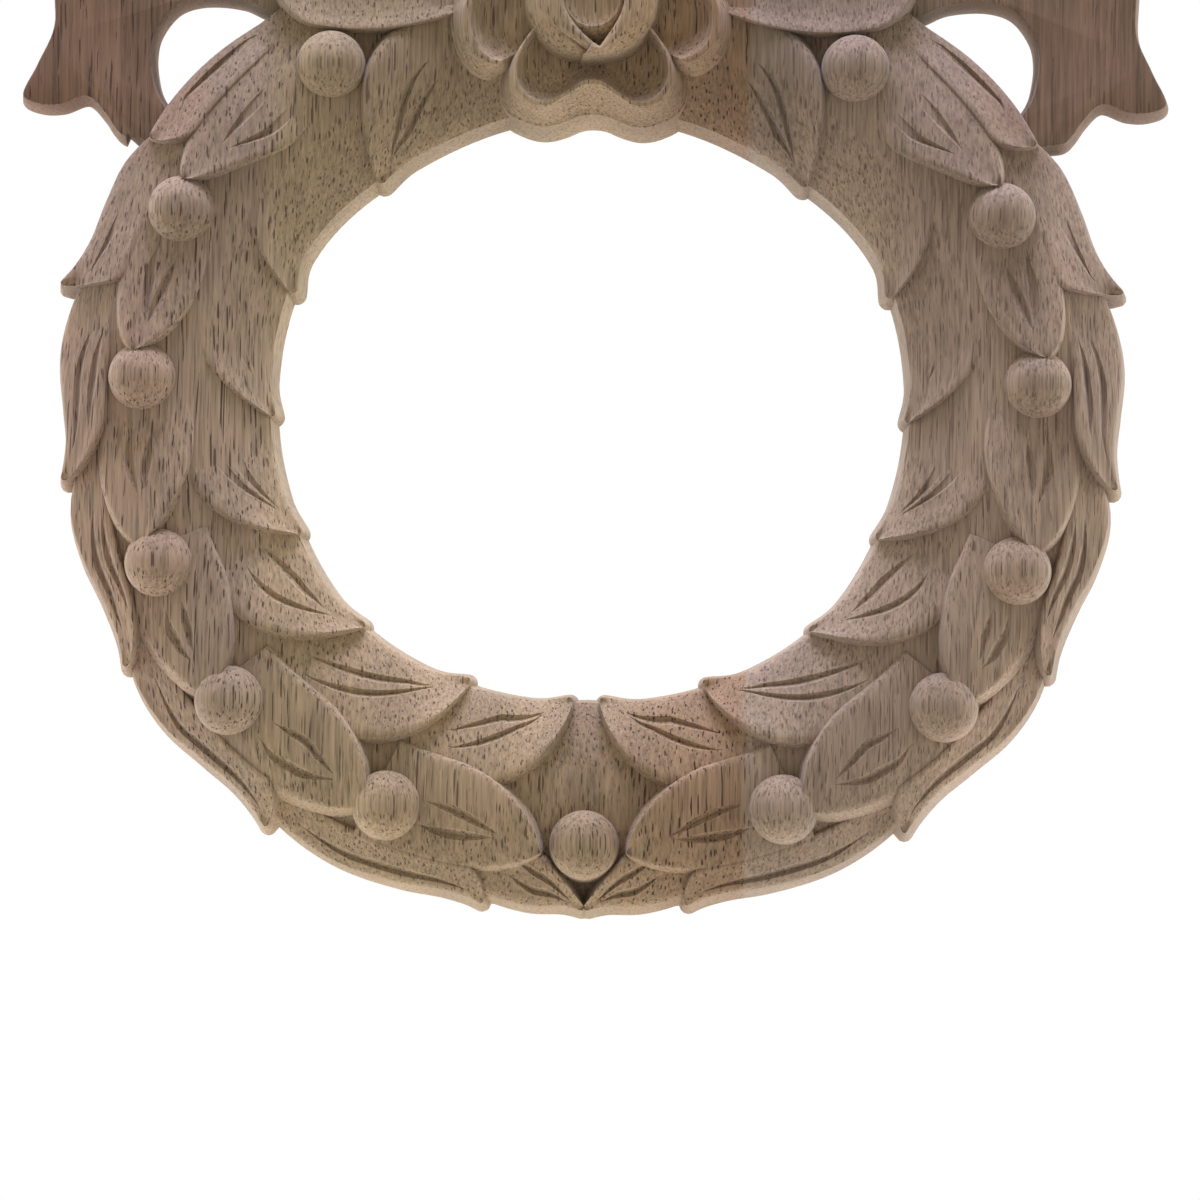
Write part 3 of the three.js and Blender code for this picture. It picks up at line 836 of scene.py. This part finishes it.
def between(start, end, from_, to, at):
    return (to - at) / (to - from_) * start + (at - from_) / (to - from_) * end


def smooth_outline(points, steps):
    """A closed curve through the points, with even corners (centripetal Catmull-Rom)."""
    points = [np.array(p) for p in points]
    n = len(points)
    curve = []
    for i in range(n):
        p = [points[(i + k - 1) % n] for k in range(4)]
        knots = [0.0]
        for k in range(3):
            knots.append(knots[-1] + np.linalg.norm(p[k + 1] - p[k]) ** 0.5)
        for s in range(steps):
            t = knots[1] + (knots[2] - knots[1]) * s / steps
            a = [between(p[k], p[k + 1], knots[k], knots[k + 1], t) for k in range(3)]
            b = [between(a[k], a[k + 1], knots[k], knots[k + 2], t) for k in range(2)]
            curve.append(between(b[0], b[1], knots[1], knots[2], t))
    return curve


tail = smooth_outline([(x * RING, y * RING - ROSE_ABOVE_RING) for x, y in tail_outline], 8)
print("points round a tail:", len(tail))

# %% [markdown]
# ## Flat blocks
#
# A flat block has the outline at four levels: wider below the back, because the wall leans, full size just
# under the face, and then drawn in twice, which rounds the upper edge over.

# %% Block from an outline
TAIL = 6.2


def flat_block(name, outline, thickness, mirror):
    pts = np.array([[(-x if mirror else x), y] for x, y in outline])
    area = np.sum(pts[:, 0] * np.roll(pts[:, 1], -1) - np.roll(pts[:, 0], -1) * pts[:, 1])
    if area < 0:
        pts = pts[::-1]
    edge = np.roll(pts, -1, axis=0) - pts
    normal = np.stack([edge[:, 1], -edge[:, 0]], 1)
    normal /= np.linalg.norm(normal, axis=1)[:, None]
    both = normal + np.roll(normal, 1, axis=0)
    both /= np.maximum((both**2).sum(1) / 2, 0.8)[:, None]
    levels = [(-BACK_ALLOWANCE, (thickness + BACK_ALLOWANCE) * LEAN), (thickness - 0.3, 0.0),
              (thickness - 0.08, -0.1), (thickness, -0.35)]
    points, faces = [], []
    n = len(pts)
    for height, out in levels:
        ring = pts + both * out
        points += [[x, y, height] for x, y in ring]
    for k in range(len(levels) - 1):
        for i in range(n):
            j = (i + 1) % n
            faces.append([k * n + i, k * n + j, (k + 1) * n + j, (k + 1) * n + i])
    faces.append(list(range(n - 1, -1, -1)))
    faces.append([(len(levels) - 1) * n + i for i in range(n)])
    return to_object(name, points, faces)


# %% [markdown]
# ## Bow loops
#
# A loop of the bow leaves the rose sideways and a little upward, swells, and closes in a round end. Its
# face is hollow, with a rounded rim all the way round. It is a grid of points like a leaf.

# %% Bow loops
LOOP_RISE = math.radians(8)
LOOP_ROOT = (-0.54 * ROSE, 0.27 * ROSE)
LOOP_LENGTH = 34.8
LOOP_WIDTH = 25
LOOP_TOP = 13.2
LOOP_HOLLOW = 2.4
LOOP_ROWS = 40
LOOP_COLUMNS = 30
ROUND_END = 0.25


def bow_loop(mirror):
    rows = []
    for i in range(LOOP_ROWS + 1):
        share = 1 - (1 - i / LOOP_ROWS) ** 1.3
        swell = 0.35 + 0.7 * math.sin(math.pi / 2 * min(share / 0.7, 1)) ** 0.9
        into_end = max((share - (1 - ROUND_END)) / ROUND_END, 0)
        closing = math.sqrt(1 - 0.97 * into_end**2)
        out = share * LOOP_LENGTH
        row = []
        for k in range(LOOP_COLUMNS + 1):
            across = -math.cos(math.pi * k / LOOP_COLUMNS)
            side = across * LOOP_WIDTH * swell * closing / 2
            x = LOOP_ROOT[0] - out * math.cos(LOOP_RISE) - side * math.sin(LOOP_RISE)
            y = LOOP_ROOT[1] + out * math.sin(LOOP_RISE) - side * math.cos(LOOP_RISE)
            from_rim = min((1 - abs(across)) * LOOP_WIDTH / 2, (1 - share) * LOOP_LENGTH)
            hollow = LOOP_HOLLOW * (1 - across**4) * (1 - into_end**4)
            row.append([x, y, LOOP_TOP - hollow - share - round_over(from_rim, 0.8, 0.4)])
        rows.append(row)
    skirted("bow loop", rows, mirror)


for mirror in (False, True):
    flat_block("ribbon tail", tail, TAIL, mirror)
    bow_loop(mirror)
print("blocks in all:", len(blocks))

# %% [markdown]
# ## Join everything into one piece of wood
#
# The real wreath is one piece, so the blocks become one mesh. Blender's Boolean modifier can take a whole
# collection at once, and its Manifold solver does it in a second or two.

# %% Union
carving = bpy.data.collections.new("carving blocks")
bpy.context.scene.collection.children.link(carving)
for block in blocks[1:]:
    carving.objects.link(block)
first = blocks[0]
bpy.context.scene.collection.objects.link(first)
union = first.modifiers.new("join", "BOOLEAN")
union.operation = "UNION"
union.solver = "MANIFOLD"
union.operand_type = "COLLECTION"
union.collection = carving

# %% [markdown]
# ## Flat back and chip
#
# Two more cuts take wood away. A flat slab saws off the allowance and leaves the flat back. A three-sided
# prism makes the small chip that the left tail has at its lower end.

# %% Saw off the back and cut the chip
SLAB_REACH = 0.4
SLAB = 4 * MM


def cut_away(name, points, faces):
    mesh = bpy.data.meshes.new(name)
    mesh.from_pydata(points, [], faces)
    tool = bpy.data.objects.new(name, mesh)
    bpy.context.scene.collection.objects.link(tool)
    cutting = first.modifiers.new(name, "BOOLEAN")
    cutting.operation = "DIFFERENCE"
    cutting.solver = "MANIFOLD"
    cutting.object = tool
    return tool


reach = (-SLAB_REACH, SLAB_REACH)
slab_faces = [(0, 1, 3, 2), (4, 6, 7, 5), (0, 4, 5, 1), (2, 3, 7, 6), (0, 2, 6, 4), (1, 5, 7, 3)]
slab = cut_away("saw cut", [(x, y, z) for x in reach for y in (0, SLAB) for z in reach], slab_faces)
chip_outline = [(-65.5, 34.6), (-66.3, 32.6), (-64.1, 33.35)]
chip_points = [(x * MM, -thickness * MM, (y - ROSE_ABOVE_RING) * MM)
               for thickness in (-2, 30) for x, y in chip_outline]
chip = cut_away("chip", chip_points, [(0, 2, 1), (3, 4, 5), (0, 1, 4, 3), (1, 2, 5, 4), (2, 0, 3, 5)])
print("modifiers on the first block:", [modifier.name for modifier in first.modifiers])

# %% [markdown]
# ## One mesh
#
# The modifiers are worked out once, the result is kept as a mesh of its own, and the blocks and tools are
# cleared.

# %% The wreath's mesh
depsgraph = bpy.context.evaluated_depsgraph_get()
mesh = bpy.data.meshes.new_from_object(first.evaluated_get(depsgraph))
mesh.name = "wreath"
wreath = bpy.data.objects.new("wreath", mesh)
bpy.context.scene.collection.objects.link(wreath)
for block in blocks + [slab, chip]:
    bpy.data.objects.remove(block, do_unlink=True)
bpy.data.collections.remove(carving)
triangles = sum(len(p.vertices) - 2 for p in mesh.polygons)
print("wreath triangles:", triangles)

# %% [markdown]
# ## Smooth faces, crisp edges
#
# A carved surface is smooth until the cutter changes direction. Faces that meet at less than 32 degrees are
# shaded smoothly, and sharper edges stay crisp.

# %% Shading
SHARP = 32
mesh.polygons.foreach_set("use_smooth", np.ones(len(mesh.polygons), dtype=bool))
mesh.set_sharp_from_angle(angle=math.radians(SHARP))
print("smooth faces:", sum(face.use_smooth for face in mesh.polygons))

# %% [markdown]
# ## Bare wood
#
# The board is glued up from staves of one pale, open-pored hardwood. Its colour shows in three layers: the
# tone of each stave, long soft streaks along the grain, and the pores. All of them are textures in object
# coordinates, so they fill the solid like real grain, and the front, the walls and the back match. A few
# short helpers keep the node tree readable: each makes one kind of node and links what it is given.

# %% Material and helpers
wood = bpy.data.materials.new("bare carved wood")
wood.use_nodes = True
nodes, links = wood.node_tree.nodes, wood.node_tree.links
nodes.clear()


def node(kind, **values):
    made = nodes.new(kind)
    for key, value in values.items():
        if hasattr(made, key):
            setattr(made, key, value)
        else:
            made.inputs[key.replace("_", " ")].default_value = value
    return made


def link(a, out, b, into):
    links.new(a.outputs[out], b.inputs[into])


place = node("ShaderNodeTexCoord")


def scaled(x, y, z, source=None, output="Object"):
    mapping = node("ShaderNodeMapping")
    mapping.inputs["Scale"].default_value = (x, y, z)
    link(source or place, output, mapping, "Vector")
    return mapping


def ramp(source, output, stops):
    made = node("ShaderNodeValToRGB")
    elements = made.color_ramp.elements
    while len(elements) < len(stops):
        elements.new(0.5)
    for element, (at, colour) in zip(elements, stops):
        element.position = at
        element.color = (*colour, 1) if len(colour) == 3 else colour
    link(source, output, made, "Fac")
    return made


def mixed(blend, factor, a, a_out, b, b_out):
    made = node("ShaderNodeMix", data_type="RGBA", blend_type=blend)
    if isinstance(factor, tuple):
        link(*factor, made, 0)
    else:
        made.inputs[0].default_value = factor
    if isinstance(a, tuple):
        made.inputs[6].default_value = (*a, 1)
    else:
        link(a, a_out, made, 6)
    if isinstance(b, tuple):
        made.inputs[7].default_value = (*b, 1)
    else:
        link(b, b_out, made, 7)
    return made


def grey(value):
    return (value, value, value)


def maths(operation, a, b, clamp=False):
    made = node("ShaderNodeMath", operation=operation, use_clamp=clamp)
    for i, value in enumerate((a, b)):
        if isinstance(value, tuple):
            link(*value, made, i)
        else:
            made.inputs[i].default_value = value
    return made


def line_through(source, output, start, end):
    """0 at one place in metres and 1 at another, clamped."""
    made = maths("MULTIPLY_ADD", (source, output), 1 / (end - start), clamp=True)
    made.inputs[2].default_value = -start / (end - start)
    return made


# %% [markdown]
# ## Staves
#
# A ramp across the board gives each stave its own tone. Two glue joints show, 45 mm left and 22 mm right of
# the middle: the left one is soft, because the neighbours are alike, and the right one is a crisp line. The
# pores are not equally dark in all staves either, so a second ramp holds their strength.

# %% Tone and pore strength of the staves
BOARD = 0.17
split = node("ShaderNodeSeparateXYZ")
link(place, "Object", split, "Vector")
across = line_through(split, "X", -BOARD / 2, BOARD / 2)
stave = ramp(across, "Value", [
    (0.0, (0.31, 0.19, 0.118)), (0.08, (0.315, 0.205, 0.13)), (0.225, (0.345, 0.245, 0.153)),
    (0.245, (0.375, 0.268, 0.149)), (0.5, (0.37, 0.259, 0.145)), (0.57, (0.33, 0.211, 0.113)),
    (0.6285, (0.3, 0.183, 0.098)), (0.6295, (0.335, 0.24, 0.158)), (1.0, (0.285, 0.192, 0.124)),
])
pore_strength = ramp(across, "Value", [
    (0.0, grey(0.85)), (0.22, grey(0.9)), (0.26, grey(0.75)), (0.5, grey(0.75)), (0.58, grey(1.0)),
    (0.6285, grey(1.0)), (0.6295, grey(0.6)), (1.0, grey(0.5)),
])
right_joint = (0.629 - 0.5) * BOARD
print("right glue joint in mm:", round(right_joint * 1000, 1))

# %% [markdown]
# ## Streaks
#
# Wood fibres are long and thin, so a noise texture is squeezed across the grain and stretched along it. A
# second, much larger one makes soft clouds, as sapwood and handling do.

# %% Streaks and clouds
streak_noise = node("ShaderNodeTexNoise", Scale=1.0, Detail=5.0, Roughness=0.6)
link(scaled(2500, 2500, 80), "Vector", streak_noise, "Vector")
streak = ramp(streak_noise, "Fac", [(0.3, grey(0.6)), (0.5, grey(1.0)), (0.7, grey(1.3))])
cloud_noise = node("ShaderNodeTexNoise", Scale=1.0, Detail=3.0, Roughness=0.5)
link(scaled(120, 120, 22), "Vector", cloud_noise, "Vector")
cloud = ramp(cloud_noise, "Fac", [(0.35, grey(0.86)), (0.65, grey(1.1))])

# %% [markdown]
# ## Pores
#
# A pore is a thin tube that runs up the board. Where the carved surface runs along it, it shows as a dark
# dash, and where the surface cuts across it, as a dot. A cell texture seen along the grain gives exactly
# that: each cell holds one tube, and the distance to its middle says whether a point lies inside. The tubes
# wander slowly as they climb, and a noise along the grain closes them here and there.

# %% Pores
wander = node("ShaderNodeTexNoise", Scale=1.0, Detail=1.0, Roughness=0.5)
link(scaled(90, 90, 45), "Vector", wander, "Vector")
wander_off = node("ShaderNodeVectorMath", operation="MULTIPLY_ADD")
link(wander, "Color", wander_off, 0)
wander_off.inputs[1].default_value = (0.002, 0.0022, 0.0)
link(place, "Object", wander_off, 2)


def pores(cell_mm, radius_mm, soft, length_mm, share):
    """Tubes along the grain, broken into lengths: the share of each that is closed."""
    cells = node("ShaderNodeTexVoronoi", voronoi_dimensions="2D", feature="F1", Scale=1.0, Randomness=1.0)
    per_metre = 1000 / cell_mm
    link(scaled(per_metre, per_metre, per_metre, wander_off, "Vector"), "Vector", cells, "Vector")
    tint = node("ShaderNodeSeparateColor")
    link(cells, "Color", tint, 0)
    size = ramp(tint, "Red", [(0.0, grey(radius_mm / cell_mm * 0.5)), (1.0, grey(radius_mm / cell_mm))])
    breaks = node("ShaderNodeTexNoise", Scale=1.0, Detail=2.0, Roughness=0.6)
    link(scaled(per_metre, per_metre, 1000 / length_mm), "Vector", breaks, "Vector")
    open_ = ramp(breaks, "Fac", [(0.5 - 0.5 * share, grey(1.0)), (0.56 - 0.5 * share, grey(0.0))])
    radius = maths("MULTIPLY", (size, "Color"), (maths("SUBTRACT", 1.0, (open_, "Color")), "Value"))
    inside = maths("SUBTRACT", (radius, "Value"), (cells, "Distance"))
    return maths("MULTIPLY", (inside, "Value"), cell_mm / (radius_mm * soft), clamp=True)


# Cell and radius in mm, softness of the edge, length in mm and closed share.
BIG_PORES = (0.62, 0.18, 0.36, 6.0, 0.11)
SMALL_PORES = (0.4, 0.11, 0.5, 4.0, 0.1)
big = maths("MULTIPLY", (pores(*BIG_PORES), "Value"), (pore_strength, "Color"))
SMALL_STRENGTH = 0.85
small = maths("MULTIPLY", (pores(*SMALL_PORES), "Value"), SMALL_STRENGTH)
print("pore cells in mm:", BIG_PORES[0], SMALL_PORES[0])

# %% [markdown]
# ## Colour from all layers
#
# The layers are multiplied: stave, streaks and clouds, then a slow change up the board, which is painted
# light low on the ring and painted shade toward the top. The tails and the rim beside them get more painted
# shade, as they lie in less light. The rose is paler wood, and painted light lifts it further. The bare
# ground between the two lowest inner leaves gets painted shade, as in a recess. The pores are laid over last,
# small ones first.

# %% Colour
tone = mixed("MULTIPLY", 1.0, stave, "Color", streak, "Color")
tone = mixed("MULTIPLY", 1.0, tone, 2, cloud, "Color")
# Painted light and shade up the board: lighter low on the ring, darker toward the top, where less light
# falls.
up = line_through(split, "Z", -0.128, 0.032)
painted_light_up_board = ramp(up, "Value", [
    (0.03, grey(0.92)), (0.14, grey(1.04)), (0.3, grey(1.06)), (0.49, grey(0.98)), (0.675, grey(0.82)),
    (0.74, grey(0.76)), (1.0, grey(0.73)),
])
tone = mixed("MULTIPLY", 1.0, tone, 2, painted_light_up_board, "Color")
# Painted shade on the tails and the rim beside them, which lie in less light.
sideways = maths("ABSOLUTE", (split, "X"), 0)
outward = line_through(sideways, "Value", 0.048, 0.06)
upward = line_through(split, "Z", -0.024, -0.016)
corner = maths("MULTIPLY", (outward, "Value"), (upward, "Value"))
tone = mixed("MULTIPLY", (corner, "Value"), tone, 2, (0.84, 0.735, 0.655), None)
# Painted shade on the bare ground in the recess between the two lowest inner leaves.
near_middle = line_through(sideways, "Value", 0.0032, 0.0017)
below_tips = line_through(split, "Z", -0.094, -0.098)
above_berry = line_through(split, "Z", -0.1135, -0.1115)
ground_shade_mask = maths("MULTIPLY", (below_tips, "Value"), (above_berry, "Value"))
ground_shade_mask = maths("MULTIPLY", (ground_shade_mask, "Value"), (near_middle, "Value"))
tone = mixed("MULTIPLY", (ground_shade_mask, "Value"), tone, 2, (0.8, 0.78, 0.78), None)
# The rose is paler wood, and painted light brightens it further, most round its cups.
from_rose = node("ShaderNodeVectorMath", operation="LENGTH")
rose_reach = 0.02
link(scaled(1 / rose_reach, 0, 1 / rose_reach), "Vector", from_rose, 0)
rose_pale_and_lit = ramp(from_rose, "Value", [
    (0.0, grey(1.33)), (0.45, grey(1.31)), (0.6, grey(1.42)), (0.85, grey(1.14)), (1.0, grey(1.0)),
])
tone = mixed("MULTIPLY", 1.0, tone, 2, rose_pale_and_lit, "Color")
tone = mixed("MIX", (small, "Value"), tone, 2, (0.13, 0.072, 0.043), None)
tone = mixed("MIX", (big, "Value"), tone, 2, (0.066, 0.031, 0.016), None)

# %% [markdown]
# ## Surface
#
# Freshly carved wood is dull and slightly fuzzy. A fine bump carries the fuzz and the pits of the pores,
# and a little sheen lifts the edges, as the cut fibres do on the real piece.

# %% Surface and output
fuzz = node("ShaderNodeTexNoise", Scale=1.0, Detail=4.0, Roughness=0.7)
link(scaled(2600, 2600, 500), "Vector", fuzz, "Vector")
height = maths("MULTIPLY_ADD", (fuzz, "Fac"), 0.35)
link(maths("MULTIPLY", (big, "Value"), -1.0), "Value", height, 2)
bump = node("ShaderNodeBump", Strength=0.75, Distance=0.00013)
link(height, "Value", bump, "Height")

surface = node("ShaderNodeBsdfPrincipled", Roughness=0.78)
surface.inputs["Specular IOR Level"].default_value = 0.3
surface.inputs["Sheen Weight"].default_value = 0.16
surface.inputs["Sheen Roughness"].default_value = 0.5
surface.inputs["Sheen Tint"].default_value = (1.0, 0.97, 0.93, 1.0)
link(tone, 2, surface, "Base Color")
link(bump, "Normal", surface, "Normal")
output = node("ShaderNodeOutputMaterial")
link(surface, "BSDF", output, "Surface")
mesh.materials.clear()
mesh.materials.append(wood)
print("nodes in the wood:", len(nodes))

# %% [markdown]
# ## World
#
# The background is white and even, and the wreath's front lies in softer light than its edges. So the world
# is white behind the wreath and turns grey toward the front. A ramp over the direction's Y does that.

# %% World
world = bpy.data.worlds.new("studio")
bpy.context.scene.world = world
world.use_nodes = True
sky = world.node_tree
direction = sky.nodes.new("ShaderNodeTexCoord")
parts = sky.nodes.new("ShaderNodeSeparateXYZ")
sky.links.new(direction.outputs["Generated"], parts.inputs[0])
backward = sky.nodes.new("ShaderNodeMath")
backward.operation = "MULTIPLY_ADD"
backward.inputs[1].default_value = 0.5
backward.inputs[2].default_value = 0.5
sky.links.new(parts.outputs["Y"], backward.inputs[0])
wall = sky.nodes.new("ShaderNodeValToRGB")
wall.color_ramp.elements.new(0.3)
wall.color_ramp.elements.new(0.5)
for element, (at, bright) in zip(wall.color_ramp.elements, [(0.0, 0.4), (0.3, 0.6), (0.5, 0.9), (0.97, 1.0)]):
    element.position = at
    element.color = (*grey(bright), 1)
sky.links.new(backward.outputs[0], wall.inputs[0])
sky.links.new(wall.outputs[0], sky.nodes["Background"].inputs["Color"])
sky.nodes["Background"].inputs["Strength"].default_value = 1.0
bpy.context.scene.view_settings.view_transform = "Standard"
print("world stops:", [round(element.position, 2) for element in wall.color_ramp.elements])


# %% [markdown]
# ## Lamps
#
# Four large square lamps stay out of the picture. The one above is the strongest and a little blue, so the
# slopes that face up are bright and cool. The one below, behind the wreath, warms the undersides and the
# wall of the hole. Two at the sides, also from behind, bring out the rims.

# %% Lamps
def soft_lamp(name, place_mm, aim_mm, size_mm, watts, colour):
    data = bpy.data.lights.new(name, "AREA")
    data.size = size_mm * MM
    data.energy = watts
    data.color = colour
    lamp = bpy.data.objects.new(name, data)
    lamp.location = Vector(place_mm) * MM
    lamp.rotation_euler = (Vector(aim_mm) * MM - lamp.location).to_track_quat("-Z", "Y").to_euler()
    lamp.visible_camera = False
    bpy.context.scene.collection.objects.link(lamp)


ring_middle = (0, 0, -ROSE_ABOVE_RING)
soft_lamp("above", (0, -15, 430), ring_middle, 300, 7.0, (0.7, 0.72, 1.0))
soft_lamp("below", (0, 110, -550), ring_middle, 420, 1.35, (1.0, 0.97, 0.86))
soft_lamp("left", (-490, 110, -50), ring_middle, 400, 2.1, (0.9, 0.95, 1.0))
soft_lamp("right", (490, 110, -50), ring_middle, 400, 2.1, (0.9, 0.95, 1.0))
print("lamps:", len(bpy.data.lights))

# %% [markdown]
# ## Floor
#
# A plain pale floor lies well below the wreath, out of the front picture. It is only part of the stage.

# %% Floor
floor_mesh = bpy.data.meshes.new("floor")
FLOOR_REACH = 3.0
FLOOR_LEVEL = -0.7
floor_sides = [(-1, -1), (1, -1), (1, 1), (-1, 1)]
floor_corners = [(x * FLOOR_REACH, y * FLOOR_REACH, FLOOR_LEVEL) for x, y in floor_sides]
floor_mesh.from_pydata(floor_corners, [], [(0, 1, 2, 3)])
floor = bpy.data.objects.new("floor", floor_mesh)
bpy.context.scene.collection.objects.link(floor)
paint = bpy.data.materials.new("pale floor")
paint.use_nodes = True
coat = paint.node_tree.nodes["Principled BSDF"]
coat.inputs["Base Color"].default_value = (0.85, 0.83, 0.8, 1)
coat.inputs["Roughness"].default_value = 0.9
floor_mesh.materials.append(paint)
print("floor level in m:", FLOOR_LEVEL)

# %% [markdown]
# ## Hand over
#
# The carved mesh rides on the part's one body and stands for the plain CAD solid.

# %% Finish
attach(wreath, "root")
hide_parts("wreath_applique")
